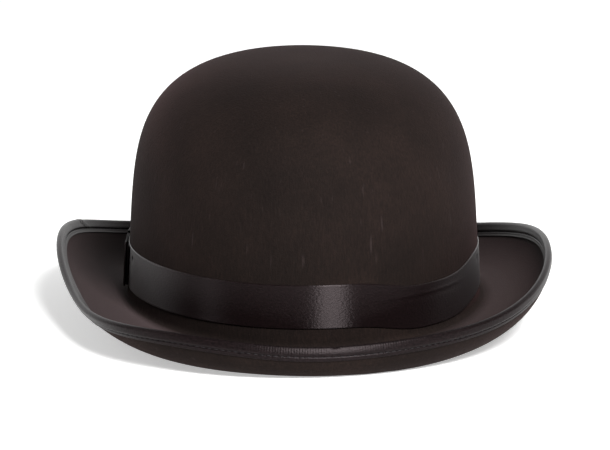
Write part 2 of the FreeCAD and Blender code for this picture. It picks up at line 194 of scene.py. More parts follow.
def brim_point(phi, along, under=0.0):
    """Point of the brim, a way along it from the crown and a depth under its upper face."""
    run = brim_measure(phi, RUN, RUN_SWAY)
    slope = np.radians(brim_measure(phi, SLOPE, SLOPE_SWAY))
    curl = brim_measure(phi, CURL, CURL_SWAY)
    sweep = np.radians(brim_measure(phi, SWEEP, SWEEP_SWAY))
    angle = slope + np.minimum(np.maximum(along - run, 0) / curl, sweep)
    straight = np.minimum(along, run)
    past = np.maximum(along - run - curl * sweep, 0)
    out = straight * np.cos(slope) + curl * (np.sin(angle) - np.sin(slope))
    up = straight * np.sin(slope) + curl * (np.cos(slope) - np.cos(angle))
    out = out + past * np.cos(angle) + under * np.sin(angle)
    up = up + past * np.sin(angle) - under * np.cos(angle)
    nx, ny = oval_normal(phi)
    x = OUTER[0] * np.cos(phi) + out * nx
    y = OUTER[1] * np.sin(phi) + out * ny
    return place(x, y, np.maximum(join_height(phi) + up, 0.05 + FELT - under))


# ---- meshes ----------------------------------------------------------------------------------

def angles(count):
    """Angles in even steps once round the hat, from its right side."""
    return np.arange(count) * TURN / count


def new_object(name, mesh):
    """An object at the origin with this mesh, in the scene."""
    made = bpy.data.objects.new(name, mesh)
    bpy.context.scene.collection.objects.link(made)
    return made


def grid_mesh(name, rows, looped=False, poles=(None, None), around=True, wear_and_light_marks=None):
    """Mesh of rows of points, each row a ring; looped joins the last row to the first.
    UV runs along the rings and across the rows, in metres. A number given at each point tells
    the material how much paler to draw the felt there: wear, and painted light."""
    rows = np.asarray(rows, float) * MM
    count, columns = rows.shape[:2]
    points = rows.reshape(-1, 3)
    across = np.arange(count if looped else count - 1)
    along = np.arange(columns if around else columns - 1)
    i, j = np.meshgrid(across, along, indexing="ij")
    i2 = (i + 1) % count
    j2 = (j + 1) % columns
    quads = np.stack([i * columns + j, i2 * columns + j, i2 * columns + j2, i * columns + j2], -1)
    faces = quads.reshape(-1, 4).tolist()
    steps = np.linalg.norm(np.diff(np.concatenate([rows, rows[:, :1]], 1), axis=1), axis=2)
    u = np.concatenate([[0], np.cumsum(steps.mean(0))])
    rises = np.linalg.norm(np.diff(np.concatenate([rows, rows[:1]], 0), axis=0), axis=2)
    v = np.concatenate([[0], np.cumsum(rises.mean(1))])
    uv = np.stack([
        np.stack([u[j], v[i]], -1), np.stack([u[j], v[i + 1]], -1),
        np.stack([u[j + 1], v[i + 1]], -1), np.stack([u[j + 1], v[i]], -1)], 2).reshape(-1, 2)
    extra = []
    for end, pole in zip((0, count - 1), poles):
        if pole is None:
            continue
        centre = len(points)
        points = np.vstack([points, np.asarray(pole, float) * MM])
        for k in range(columns):
            near, far = end * columns + k, end * columns + (k + 1) % columns
            fan = (centre, near, far) if end == 0 else (centre, far, near)
            faces.append(fan)
            extra += [(u[k], v[end])] * 3
    mesh = bpy.data.meshes.new(name)
    mesh.from_pydata(points.tolist(), [], faces)
    layer = mesh.uv_layers.new(name="cloth")
    layer.data.foreach_set("uv", np.vstack([uv, np.array(extra).reshape(-1, 2)]).ravel())
    mesh.polygons.foreach_set("use_smooth", [True] * len(mesh.polygons))
    # paler felt on the brim: wear, and painted light on its back-left and by the band
    wear_and_light = mesh.attributes.new("wear_and_light", "FLOAT", "POINT")
    values = np.zeros(len(points))
    if wear_and_light_marks is not None:
        values[:count * columns] = np.broadcast_to(wear_and_light_marks, (count, columns)).ravel()
    wear_and_light.data.foreach_set("value", values)
    return new_object(name, mesh)


def soften(rows, first, last, times):
    """Rounds the corner between two runs of rows by averaging each row with its neighbours."""
    for _ in range(times):
        middle = (rows[first - 1:last - 1] + 2 * rows[first:last] + rows[first + 1:last + 1]) / 4
        rows[first:last] = middle
    return rows


def made_plain(piece):
    """Gives an object the mesh that its modifiers make of it, and removes them."""
    shaped = piece.evaluated_get(bpy.context.evaluated_depsgraph_get())
    mesh = bpy.data.meshes.new_from_object(shaped)
    piece.modifiers.clear()
    piece.data = mesh
    return piece


def thin_sheet(name, rows, thick, around=False, poles=(None, None)):
    """Ribbon or cloth of even thickness about the rows of points at its middle."""
    piece = grid_mesh(name, rows, around=around, poles=poles)
    wall = piece.modifiers.new("thickness", "SOLIDIFY")
    wall.thickness = thick * MM
    wall.offset = 0.0
    wall.use_even_offset = True
    return made_plain(piece)


def joined(name, pieces):
    """One object from several, which are removed."""
    whole = bmesh.new()
    for piece in pieces:
        whole.from_mesh(piece.data)
        bpy.data.objects.remove(piece)
    mesh = bpy.data.meshes.new(name)
    whole.to_mesh(mesh)
    whole.free()
    return new_object(name, mesh)


def lay_flat_uv(piece):
    """UV straight down on the piece, in metres, as its cloth was cut."""
    mesh = piece.data
    layer = mesh.uv_layers["cloth"]
    for loop in mesh.loops:
        x, y, _ = mesh.vertices[loop.vertex_index].co
        layer.data[loop.index].uv = (x, y)
    return piece


def finish_piece(piece, node, material):
    """Gives a piece its material and its place in the frame."""
    piece.data.materials.clear()
    piece.data.materials.append(material)
    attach(piece, "root")
    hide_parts(node)
    return piece


# ---- materials -------------------------------------------------------------------------------

def colour(code):
    """Linear colour from an sRGB hex code."""
    parts = [int(code[k:k + 2], 16) / 255 for k in (1, 3, 5)]
    return tuple(p / 12.92 if p <= 0.04045 else ((p + 0.055) / 1.055) ** 2.4 for p in parts) + (1.0,)


def add(tree, kind, inputs=None, stops=(), **settings):
    """Adds a node with its settings; inputs are values or the sockets that feed them, stops
    the places and hex codes of a colour ramp."""
    made = tree.nodes.new(kind)
    for name, value in settings.items():
        setattr(made, name, value)
    for name, value in (inputs or {}).items():
        socket = made.inputs[name]
        if isinstance(value, bpy.types.NodeSocket):
            tree.links.new(value, socket)
        else:
            socket.default_value = value
    if stops:
        ends = made.color_ramp.elements
        while len(ends) < len(stops):
            ends.new(0.5)
        for end, (where, tone) in zip(ends, stops):
            end.position = where
            end.color = colour(tone)
    return made


def new_material(name):
    """An empty material and its tree of nodes."""
    made = bpy.data.materials.new(name)
    made.use_nodes = True
    made.node_tree.nodes.clear()
    return made, made.node_tree


def wool_felt():
    """Stiffened wool felt, pounced smooth: no weave, a short dull nap that scatters light and
    glows along the hat's edges, faint brush strokes, and paler over the brim: wear there, and
    painted light on its back-left and by the band. The nap's hairs, a few hundredths of a
    millimetre in life, are drawn coarser to show."""
    made, tree = new_material("wool_felt")
    at = add(tree, "ShaderNodeTexCoord").outputs["Object"]
    clouds = add(tree, "ShaderNodeTexNoise", {"Vector": at, "Scale": 1 / (35 * MM), "Detail": 3.0})
    nap = add(tree, "ShaderNodeTexNoise", {"Vector": at, "Scale": 1 / (0.9 * MM), "Detail": 3.0,
                                           "Roughness": 0.7})
    long = add(tree, "ShaderNodeMapping", {"Vector": at, "Scale": (1.0, 1.0, 0.2)})
    hairs = add(tree, "ShaderNodeTexNoise", {"Vector": long.outputs[0], "Scale": 1 / (0.8 * MM),
                                             "Detail": 2.0})
    mixed = add(tree, "ShaderNodeMath", {0: clouds.outputs[0], 1: 1.2, 2: nap.outputs[0]},
                operation="MULTIPLY_ADD")
    summed = add(tree, "ShaderNodeMath", {0: mixed.outputs[0], 1: hairs.outputs[0]},
                 operation="ADD")
    tone = add(tree, "ShaderNodeMath", {0: summed.outputs[0], 1: 0.31}, operation="MULTIPLY")
    base = add(tree, "ShaderNodeValToRGB", {"Fac": tone.outputs[0]},
               stops=[(0.3, "#110d0c"), (0.5, "#1a1412"), (0.7, "#251c19")])
    # how much paler the brim is drawn: wear, and painted light on its back-left and by the band
    wear_and_light = add(tree, "ShaderNodeAttribute", attribute_name="wear_and_light").outputs["Fac"]
    paler = add(tree, "ShaderNodeMath", {0: wear_and_light, 1: 0.09}, operation="MULTIPLY")
    stroked = add(tree, "ShaderNodeMapping", {"Vector": at, "Scale": (1.0, 1.0, 0.05)})
    strokes = add(tree, "ShaderNodeTexNoise", {"Vector": stroked.outputs[0],
                                               "Scale": 1 / (1.6 * MM), "Detail": 1.0})
    scuffs = add(tree, "ShaderNodeMapRange", {"Value": strokes.outputs[0], "From Min": 0.70,
                                              "From Max": 0.80, "To Max": 0.06})
    paled = add(tree, "ShaderNodeMath", {0: paler.outputs[0], 1: scuffs.outputs[0]},
               operation="ADD")
    # paler felt toward #77686a: brush strokes, wear, and painted light on the brim
    whole = add(tree, "ShaderNodeMix", {0: paled.outputs[0], 6: base.outputs[0],
                                            7: colour("#77686a")},
                data_type="RGBA")
    rise = add(tree, "ShaderNodeMath", {0: nap.outputs[0], 1: hairs.outputs[0]}, operation="ADD")
    bump = add(tree, "ShaderNodeBump", {"Height": rise.outputs[0], "Strength": 0.5,
                                        "Distance": 0.3 * MM})
    shader = add(tree, "ShaderNodeBsdfPrincipled", {
        "Base Color": whole.outputs[2], "Roughness": 0.85, "Specular IOR Level": 0.06,
        "Sheen Weight": 0.07, "Sheen Roughness": 0.4, "Sheen Tint": colour("#a27577"),
        "Normal": bump.outputs[0]})
    add(tree, "ShaderNodeOutputMaterial", {"Surface": shader.outputs[0]})
    return made


WAVE_RATE = 20                                # radians a wave node turns in one unit


def ribbon_satin(name, dark, light, roughness, speckle, ribs, gloss, streak):
    """Satin ribbon: long floats along it throw the light across it in a bright band, which
    the weave breaks into specks. speckle and ribs are mm, ribs nought where there are none;
    streak is how far the gloss is drawn out. The floats, 0.1 mm in life, and the ribs, half
    a millimetre, are drawn coarser to show."""
    made, tree = new_material(name)
    uv = add(tree, "ShaderNodeUVMap", uv_map="cloth").outputs[0]
    stretched = add(tree, "ShaderNodeMapping", {"Vector": uv, "Scale": (0.6, 1.0, 1.0)})
    floats = add(tree, "ShaderNodeTexNoise", {"Vector": stretched.outputs[0],
                                              "Scale": 1 / (speckle * MM), "Detail": 1.0,
                                              "Roughness": 0.6})
    base = add(tree, "ShaderNodeValToRGB", {"Fac": floats.outputs[0]},
               stops=[(0.3, dark), (0.75, light)])
    height = floats.outputs[0]
    if ribs:
        rate = TURN / WAVE_RATE / (ribs * MM)
        waves = add(tree, "ShaderNodeTexWave", {"Vector": uv, "Scale": rate, "Distortion": 0.4,
                                                "Detail": 0.0}, bands_direction="X")
        height = add(tree, "ShaderNodeMath", {0: waves.outputs[1], 1: 0.25, 2: height},
                     operation="MULTIPLY_ADD").outputs[0]
    bump = add(tree, "ShaderNodeBump", {"Height": height, "Strength": 0.6,
                                        "Distance": 0.14 * MM})
    tangent = add(tree, "ShaderNodeTangent", direction_type="UV_MAP", uv_map="cloth")
    shader = add(tree, "ShaderNodeBsdfPrincipled", {
        "Base Color": base.outputs[0], "Roughness": roughness, "Anisotropic": streak,
        "Anisotropic Rotation": 0.25, "Tangent": tangent.outputs[0],
        "Specular IOR Level": gloss, "Specular Tint": colour("#ffeef1"),
        "Normal": bump.outputs[0]})
    add(tree, "ShaderNodeOutputMaterial", {"Surface": shader.outputs[0]})
    return made


def plain_material(name, dark, light, grain_size, roughness, gloss):
    """Finish with one grain, whose size is in mm, in both its colour and its surface."""
    made, tree = new_material(name)
    at = add(tree, "ShaderNodeTexCoord").outputs["Object"]
    grain = add(tree, "ShaderNodeTexNoise", {"Vector": at, "Scale": 1 / (grain_size * MM),
                                             "Detail": 3.0})
    base = add(tree, "ShaderNodeValToRGB", {"Fac": grain.outputs[0]},
               stops=[(0.3, dark), (0.7, light)])
    bump = add(tree, "ShaderNodeBump", {"Height": grain.outputs[0], "Strength": 0.3,
                                        "Distance": 0.15 * MM})
    shader = add(tree, "ShaderNodeBsdfPrincipled", {
        "Base Color": base.outputs[0], "Roughness": roughness, "Specular IOR Level": gloss,
        "Normal": bump.outputs[0]})
    add(tree, "ShaderNodeOutputMaterial", {"Surface": shader.outputs[0]})
    return made


felt = wool_felt()
# woven viscose satin: nearly black, a tall bright streak where it faces the light
band_satin = ribbon_satin("black_satin_ribbon", dark="#0e0909", light="#170f10", roughness=0.36,
                          speckle=0.8, ribs=0.0, gloss=0.26, streak=1.0)
# ribbed ribbon, worn grey: a duller, broader shine, dotted by its ribs
binding_satin = ribbon_satin("grey_binding_ribbon", dark="#0a0707", light="#1b1415",
                             roughness=0.38, speckle=0.8, ribs=1.2, gloss=0.1, streak=0.6)
# spun and twisted cotton: dark and dull, a shade paler than the ribbon it lies in
thread = plain_material("spun_thread", dark="#120f11", light="#2a2528", grain_size=0.4,
                        roughness=0.6, gloss=0.3)
# tanned sheepskin, dyed and pressed: warm brown with a fine grain and a low shine
leather = plain_material("sheepskin", dark="#241712", light="#3c281e", grain_size=1.2,
                         roughness=0.5, gloss=0.4)
# woven lining satin: charcoal, soft and bright along its gathers
lining = ribbon_satin("lining_satin", dark="#151214", light="#2a2427", roughness=0.36,
                      speckle=1.0, ribs=0.0, gloss=0.4, streak=0.8)


# ---- felt body -------------------------------------------------------------------------------

def crown_rows(phi, foot, inset, wall_count, top_count):
    """Rows from the foot of the crown to the edge of its pole."""
    wall_top = float(crown_height(WALL_SHARE, inset))
    ways = np.linspace(0, 1, wall_count)[:, None]
    walls = crown_point(phi[None], foot[None] + ways * (wall_top - foot[None]), inset)
    turns = np.linspace(0, 1, top_count + 1)[1:]
    shares = WALL_SHARE * np.cos(turns * math.pi / 2) ** 0.8
    shares[-1] = POLE_SHARE
    heights = crown_height(shares, inset)
    caps = crown_point(phi[None], heights[:, None], inset, shares[:, None])
    return np.concatenate([walls, caps], 0)


PALEST_AT = 232                              # degrees round to where the brim is drawn palest: painted light there, and handling


def brim_wear_and_painted_light(phi, count, first, last):
    """How much paler the felt is drawn, for count rows of which the brim's upper face runs from
    first to last: not at all on the crown, some over all the brim's upper face, more round its
    back-left, painted light there as well as handling, and more by the band, painted light that
    lifts the shade where the brim meets the crown."""
    row = np.arange(count)[:, None] - first
    paled = np.where((row >= 0) & (row < last - first), np.minimum(row / 4, 1), 0.0)
    # painted light: the back-left of the brim drawn paler, as well as for handling
    lit_and_handled = np.maximum(np.cos(phi - math.radians(PALEST_AT)), 0)
    # painted light: paler by the band, lifting the shade where brim meets crown
    painted_fill_by_band = np.exp(-np.maximum(row, 0) / 6)
    return paled * (1 + 1.1 * lit_and_handled) * (1 + 0.9 * painted_fill_by_band)


CORNER_ROWS = 3                               # rows that are rounded each side of a corner


def felt_body():
    """One skin: down the outside of the crown, over the brim's rim, back under and up inside."""
    phi = angles(480)
    along = np.linspace(0, 1, 34)[:, None]
    outside = crown_rows(phi, join_height(phi), 0.0, 50, 40)[::-1]
    upper = brim_point(phi, along[1:] * brim_arc(phi))
    lower = brim_point(phi, along[::-1] * (brim_arc(phi) + FELT) - FELT, FELT)
    inside = crown_rows(phi, lower[-1][:, 2], FELT, 30, 20)[1:]
    rows = np.concatenate([outside, upper, lower, inside], 0)
    crease = len(outside)
    heel = len(rows) - len(inside)
    for corner in (crease, heel):
        soften(rows, corner - CORNER_ROWS, corner + CORNER_ROWS, times=3)
    # paler felt on the brim: wear, and painted light on its back-left and by the band
    wear_and_light_marks = brim_wear_and_painted_light(phi, len(rows), crease, crease + len(upper))
    return grid_mesh("felt_hat_body", rows, wear_and_light_marks=wear_and_light_marks,
                     poles=((0, 0, CROWN_TOP), (0, 0, CROWN_TOP - FELT)))


finish_piece(felt_body(), "felt_body", felt)


# ---- brim binding ----------------------------------------------------------------------------

def binding_face(wide, selvedge):
    """Section of one face of the binding, from its woven edge to the rim: distance back from
    the felt's edge, height above the felt, and how far the stitches pull it in."""
    seam = wide - selvedge
    return [
        (wide, 0.02, 0), (wide + 0.05, 0.30, 0), (wide - 0.1, 0.50, 0), (wide - 0.35, 0.44, 0),
        (seam + 0.7, 0.38, 0), (seam + 0.45, 0.46, 0.2), (seam + 0.25, 0.40, 0.6),
        (seam + 0.1, 0.18, 1), (seam - 0.1, 0.15, 1), (seam - 0.3, 0.40, 0.8),
        (seam - 0.55, 0.66, 0.3), (seam - 0.85, 0.76, 0), (seam * 0.55, 0.72, 0),
        (seam * 0.4, 0.64, 0), (seam * 0.2, 0.52, 0), (0.0, FOLD_LIFT, 0)]


def stitch_pull(phi):
    """Between nought and one: how hard the nearest stitch pulls at an angle."""
    count = round(RIM_LONG / STITCH_PITCH)
    return (0.5 + 0.5 * np.cos(phi * count)) ** 1.5


def binding_lap(phi, back):
    """Extra height where the ribbon's end is turned under on a slant and laps its start."""
    way = np.degrees(phi) - LAP_AT + 0.9 * back
    under = (way > 0) & (way < LAP_LONG)
    step = np.where(under, 0.26 * np.cos(way / LAP_LONG * math.pi / 2), 0)
    folds = 0.42 * np.exp(-(way / 0.33) ** 2) + 0.3 * np.exp(-((way + 1.3) / 0.35) ** 2)
    return (step + folds) * np.clip((BINDING_WIDE - SELVEDGE + 0.4 - back) / 0.6, 0, 1)


def brim_binding():
    """Ribbon over the rim: upper face, padded turn, under face, and its hidden side."""
    phi = angles(1440)
    arc = brim_arc(phi)
    pull = STITCH_PULL * stitch_pull(phi)
    rows = [brim_point(phi, arc - back, -(high - pull * share + binding_lap(phi, back)))
            for back, high, share in binding_face(BINDING_WIDE, SELVEDGE)]
    half = FELT / 2 + FOLD_LIFT
    kink = 0.35 * np.exp(-((np.degrees(phi) - KINK_AT) / 0.7) ** 2)
    for turn in np.radians((20, 42, 64, 90, 116, 138, 160)):
        lap = binding_lap(phi, 0) * math.cos(turn / 2) - kink
        out = (BINDING_REACH + BINDING_PUFF + lap) * math.sin(turn)
        rows.append(brim_point(phi, arc + out, FELT / 2 - (half + lap) * math.cos(turn)))
    rows += [brim_point(phi, arc - back, FELT + high - pull * share)
             for back, high, share in binding_face(UNDER_WIDE, UNDER_SELVEDGE)[::-1]]
    rows += [brim_point(phi, arc - back, FELT) for back in (BINDING_TUCK, 0.0)]
    rows += [brim_point(phi, arc - back, 0.0) for back in (0.0, BINDING_TUCK)]
    return grid_mesh("brim_binding_ribbon", np.array(rows), looped=True)


BINDING = finish_piece(brim_binding(), "brim_binding", binding_satin)


# ---- lines of stitches -----------------------------------------------------------------------

def stitch_tree():
    """Geometry Nodes: a stitch laid at even steps along a line of points."""
    tree = bpy.data.node_groups.new("line_of_stitches", "GeometryNodeTree")
    sockets = {"Line": "NodeSocketGeometry", "Pitch": "NodeSocketFloat",
               "Length": "NodeSocketFloat", "Thread": "NodeSocketFloat",
               "Seed": "NodeSocketInt", "Finish": "NodeSocketMaterial"}
    for name, kind in sockets.items():
        tree.interface.new_socket(name, in_out="INPUT", socket_type=kind)
    tree.interface.new_socket("Stitches", in_out="OUTPUT", socket_type="NodeSocketGeometry")
    given = add(tree, "NodeGroupInput").outputs
    line = add(tree, "GeometryNodeMeshToCurve", {"Mesh": given["Line"]})
    steps = add(tree, "GeometryNodeResampleCurve", {"Curve": line.outputs[0],
                                                    "Length": given["Pitch"]}, mode="LENGTH")
    bead = add(tree, "GeometryNodeMeshUVSphere", {"Segments": 6, "Rings": 5, "Radius": 0.5})
    way = add(tree, "GeometryNodeInputTangent")
    turned = add(tree, "FunctionNodeAlignRotationToVector", {"Vector": way.outputs[0]}, axis="X")
    varied = add(tree, "FunctionNodeRandomValue", {2: 0.85, 3: 1.1, "Seed": given["Seed"]})
    long = add(tree, "ShaderNodeMath", {0: given["Length"], 1: varied.outputs[1]},
               operation="MULTIPLY")
    shape = add(tree, "ShaderNodeCombineXYZ", {"X": long.outputs[0], "Y": given["Thread"],
                                               "Z": given["Thread"]})
    laid = add(tree, "GeometryNodeInstanceOnPoints", {
        "Points": steps.outputs[0], "Instance": bead.outputs[0], "Rotation": turned.outputs[0],
        "Scale": shape.outputs[0]})
    real = add(tree, "GeometryNodeRealizeInstances", {"Geometry": laid.outputs[0]})
    smooth = add(tree, "GeometryNodeSetShadeSmooth", {"Geometry": real.outputs[0]})
    coated = add(tree, "GeometryNodeSetMaterial", {"Geometry": smooth.outputs[0],
                                                   "Material": given["Finish"]})
    add(tree, "NodeGroupOutput", {"Stitches": coated.outputs[0]})
    return tree


STITCHES = stitch_tree()


def stitch_line(name, lines, length, thick, seed):
    """Stitches along closed lines of points, as one plain mesh."""
    points = np.vstack(lines) * MM
    edges = []
    start = 0
    for line in lines:
        count = len(line)
        edges += [(start + k, start + (k + 1) % count) for k in range(count)]
        start += count
    mesh = bpy.data.meshes.new(name)
    mesh.from_pydata(points.tolist(), edges, [])
    piece = new_object(name, mesh)
    layer = piece.modifiers.new("stitches", "NODES")
    layer.node_group = STITCHES
    values = {"Pitch": STITCH_PITCH * MM, "Length": length * MM, "Thread": thick * MM, "Seed": seed,
              "Finish": thread}
    for socket in STITCHES.interface.items_tree:
        if socket.in_out == "INPUT" and socket.name in values:
            layer[socket.identifier] = values[socket.name]
    return made_plain(piece)


def binding_stitches():
    """A line of stitches on each face of the brim, in the grooves of the binding."""
    phi = angles(1440)
    arc = brim_arc(phi)
    lines = [brim_point(phi, arc - BINDING_WIDE + SELVEDGE, -STITCH_RISE),
             brim_point(phi, arc - UNDER_WIDE + UNDER_SELVEDGE, FELT + STITCH_RISE)]
    return stitch_line("binding_stitches", lines, STITCH_LONG, STITCH_THICK, seed=3)


finish_piece(binding_stitches(), "binding_stitching", thread)


# ---- hat band --------------------------------------------------------------------------------

def band_drop(phi):
    """The band has slipped down a little round its right-hand back quarter."""
    return SLIP * np.exp(-np.abs((signed_degrees(phi) - SLIP_AT) / 21) ** 3.2)


def band_wrinkle(phi, up):
    """Lengthwise wrinkle where the slipped part goes slack: a fine lip over a soft furrow."""
    reach = np.exp(-np.abs((signed_degrees(phi) - WRINKLE_AT) / 17) ** 4)
    over = up - WRINKLE_UP - band_drop(phi)
    return reach * (0.34 * np.exp(-(over / 0.55) ** 2) - 0.16 * np.exp(-((over + 1.6) / 1.2) ** 2))


def from_tack(phi):
    """Degrees to the nearer of the two tacks, which are behind the hat's sides."""
    turn = signed_degrees(phi)
    in_front = 40 * (np.sin(phi) > 0)
    return np.minimum(np.abs(turn + TACK_AT), np.abs(np.abs(turn) - (180 - TACK_AT)) + in_front)


def hat_band():
    """Ribbon round the crown, with a woven edge above and below and a dimple at each tack."""
    phi = angles(720)
    drop = band_drop(phi)
    half = BAND_WIDE / 2
    rows = [crown_point(phi, BAND_FOOT + up - drop, 0.0) for up in (half + 4, half - 4)]
    edge = [(0.0, 0.05), (0.02, 0.42), (0.25, 0.54), (0.7, 0.52)]
    face_ups = np.linspace(1.4, BAND_WIDE - 1.4, 25)
    section = edge + [(up, BAND_THICK) for up in face_ups]
    section += [(BAND_WIDE - up, lift) for up, lift in edge[::-1]]
    tacks = from_tack(phi)
    for up, lift in section:
        face = lift + band_wrinkle(phi, up) * (lift > 0.1)
        dimple = TACK_PULL * np.exp(-tacks ** 2 - ((up - TACK_UP) / 1.8) ** 2)
        rows.append(crown_point(phi, BAND_FOOT + up - drop, -np.maximum(face - dimple, 0.05)))
    return grid_mesh("satin_hat_band", np.array(rows)[::-1], looped=True)


BAND = finish_piece(hat_band(), "hat_band", band_satin)


# ---- side bow --------------------------------------------------------------------------------

BOW_FOOT = 14.2
BOW_TALL = 21.5
BOW_FORWARD = 21.0                            # its middle forward of the side
BOW_RIBBON = 0.35
TAILS_REACH = 34.0                            # from the bow's middle to each end
LOOPS_REACH = 30.0
KNOT_LONG = 13.0                              # along the band


def side_point(along, height, out):
    """Point over the band by the bow's middle: a way forward of it, a height, a way out."""
    ahead = SIDE_RADIUS * np.sin((along + BOW_FORWARD) / SIDE_RADIUS)
    return crown_point(math.pi - np.arcsin(ahead / OUTER[1]), height, -(BAND_THICK + out))


def bow_tails():
    """Flat layer under the loops, its ends cut slantwise and lifting slightly."""
    ways = np.linspace(-1, 1, 81)[:, None]
    ups = np.linspace(0, 1, 17)[None]
    along = ways * TAILS_REACH + 2.2 * (ups - 0.5) * np.abs(ways) ** 8 * np.sign(ways)
    out = 0.25 + 0.35 * np.abs(ways) ** 10 * (0.5 + ups)
    height = BOW_FOOT + 1 + ups * (BOW_TALL - 2) + 0 * ways
    return thin_sheet("bow_tails_ribbon", side_point(along, height, out)[::-1], BOW_RIBBON)


def ribbon_loops(name, at, reach, foot, tall, deep, lift):
    """Two flattened loops: ribbon that runs out, folds back on itself and returns. deep is
    half a loop's thickness, lift how far the end on the minus side stands away; the other
    end lies flatter."""
    rows = []
    ups = np.linspace(0, 1, 13)
    for lap in np.linspace(0, 4, 161):
        s = abs(lap - 2 * round(lap / 2))
        side = 1 if lap < 2 else -1
        outgoing = lap % 2 < 1
        fold = math.sqrt(max(1 - (max(s - 0.96, 0) / 0.04) ** 2, 0.0)) * min(s * 6, 1)
        swell = 0.4 * deep * math.sin(math.pi * s)
        cup = 0.4 * deep * (2 * ups - 1) ** 2 * s
        out = 1.85 * deep - deep * fold if outgoing else 1.85 * deep + deep * fold + swell - cup
        pinch = tall * 0.06 * (1 - min(s * 2.2, 1)) ** 2
        height = foot + pinch + ups * (tall - 2 * pinch)
        rows.append(at(side * s * reach + 0 * ups, height, out + lift * s ** 6 * (1 if side < 0 else 0.3)))
    return thin_sheet(name, rows, BOW_RIBBON)


def ribbon_knot(name, at, long, foot, tall, deep):
    """Wrap round a bow's middle, its edges folded in, with soft pleats along it."""
    turns = np.linspace(0, TURN, 65)[:-1]
    c = np.cos(turns)
    s = np.sin(turns)
    rows = []
    for way in np.linspace(-1, 1, 29):
        thick = deep * (0.75 + 0.3 * (1 - way ** 2) + 0.12 * math.cos(way * 7.0))
        out = 0.9 * deep + thick * np.sign(c) * np.abs(c) ** 0.35
        height = foot + tall / 2 + (tall / 2 + 0.35) * np.sign(s) * np.abs(s) ** 0.35
        rows.append(at(way * long / 2 + 0 * turns, height, np.maximum(out, 0.02)))
    piece = grid_mesh(name, rows)
    wall = piece.modifiers.new("thickness", "SOLIDIFY")
    wall.thickness = BOW_RIBBON * MM
    wall.offset = -1.0
    return made_plain(piece)


TAILS = finish_piece(bow_tails(), "bow_tails", band_satin)
bow_loops = ribbon_loops("bow_loops_ribbon", side_point, LOOPS_REACH, BOW_FOOT, BOW_TALL,
                         deep=0.32, lift=1.2)
LOOPS = finish_piece(bow_loops, "bow_loops", band_satin)
bow_knot = ribbon_knot("bow_knot_ribbon", side_point, KNOT_LONG, BOW_FOOT, BOW_TALL, deep=0.9)
KNOT = finish_piece(bow_knot, "bow_knot", band_satin)


# ---- tack stitches ---------------------------------------------------------------------------

TACK_TALL = 2.4
TACK_TURN = math.radians(TACK_AT)
SIDE_RUN = 100                                # mm that a radian takes up near the sides


def thread_bar(at, start, end, thick):
    """Short bar of thread from start to end, sunk at both; at places a pair of numbers."""
    turns = np.linspace(0, TURN, 9)[:-1]
    rows = []
    for part in np.linspace(0.02, 0.98, 9):
        round_off = math.sqrt(1 - (2 * part - 1) ** 2)
        radius = thick / 2 * round_off
        side, up = (a + part * (b - a) for a, b in zip(start, end))
        rows.append(at(side + radius * np.cos(turns), up, thick * 0.4 * round_off
                       + radius * np.sin(turns)))
    poles = (rows[0].mean(0), rows[-1].mean(0))
    return grid_mesh("bar", rows, poles=poles)


def band_tacks():
    """At each side near the back, two turns of thread through the band into the felt."""
    bars = []
    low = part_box("band_tacks")[0].z / MM
    for turn in (-TACK_TURN, TACK_TURN - math.pi):
        def at(side, up, out, turn=turn):
            return crown_point(turn + side / SIDE_RUN, low + up, -(BAND_THICK - 0.3 + out))
        bars.append(thread_bar(at, (-0.35, 0.0), (0.25, TACK_TALL), 0.45))
        bars.append(thread_bar(at, (0.35, 0.1), (-0.2, TACK_TALL - 0.1), 0.45))
    return joined("band_tack_stitches", bars)


finish_piece(band_tacks(), "band_tacks", thread)


# ---- sweatband -------------------------------------------------------------------------------

def sweat_inset(phi, up):
    """How far the leather's felt side lies in from the felt's outside, a way up from its foot."""
    share = up / SWEAT_TALL
    ripple = 0.20 * np.sin(3 * phi + 1) + 0.15 * np.sin(7 * phi) + 0.10 * np.sin(12 * phi + 2)
    return FELT + 0.05 + share * (SWEAT_SLACK + ripple * share)


def sweat_joint(phi):
    """Groove where the leather's two ends meet at the wearer's back."""
    way = signed_degrees(phi - BACK)
    return 0.6 * np.exp(-(way / 0.35) ** 2) - 0.25 * np.exp(-((np.abs(way) - 1.2) / 0.8) ** 2)


def sweatband():
    """Leather band: its rolled and stitched foot, its face, and its top edge pared thin."""
    phi = angles(1080)
    rows = []
    for up in (30.0, 20.0, 10.0, 0.3):
        rows.append(crown_point(phi, SWEAT_FOOT + up, sweat_inset(phi, up)))
    seam = ((0.0, 0.3), (0.0, 0.7), (0.3, 1.15), (0.9, 1.3), (1.6, 1.2), (2.1, 0.95), (2.5, 0.62),
            (2.9, 0.62), (3.3, 0.9), (3.9, 1.0))
    skived = ((SWEAT_TALL - 0.8, 0.85), (SWEAT_TALL - 0.3, 0.72), (SWEAT_TALL - 0.05, 0.5),
              (SWEAT_TALL - 0.05, 0.2), (SWEAT_TALL - 0.3, 0.02))
    face = [(up, 1.0) for up in np.linspace(5.2, SWEAT_TALL - 1.8, 12)]
    for up, thick in (*seam, *face, *skived):
        inner = sweat_inset(phi, up) + thick * SWEAT_THICK - sweat_joint(phi) * (thick > 0.9)
        rows.append(crown_point(phi, SWEAT_FOOT + up, inner))
    return grid_mesh("sweatband_leather", rows, looped=True)


def sweatband_stitches():
    """Stitches that sew the leather in, lying in the hollow over its rolled foot."""
    phi = angles(1080)
    inset = sweat_inset(phi, SWEAT_SEAM) + 0.78
    line = crown_point(phi, SWEAT_FOOT + SWEAT_SEAM, inset)
    return stitch_line("sweatband_stitches", [line], length=2.3, thick=0.5, seed=5)


def sweat_point(along, height, out):
    """Point over the sweatband's face by the wearer's back."""
    phi = BACK + along / SWEAT_HALF
    return crown_point(phi, height, sweat_inset(phi, height - SWEAT_FOOT) + SWEAT_THICK + out)


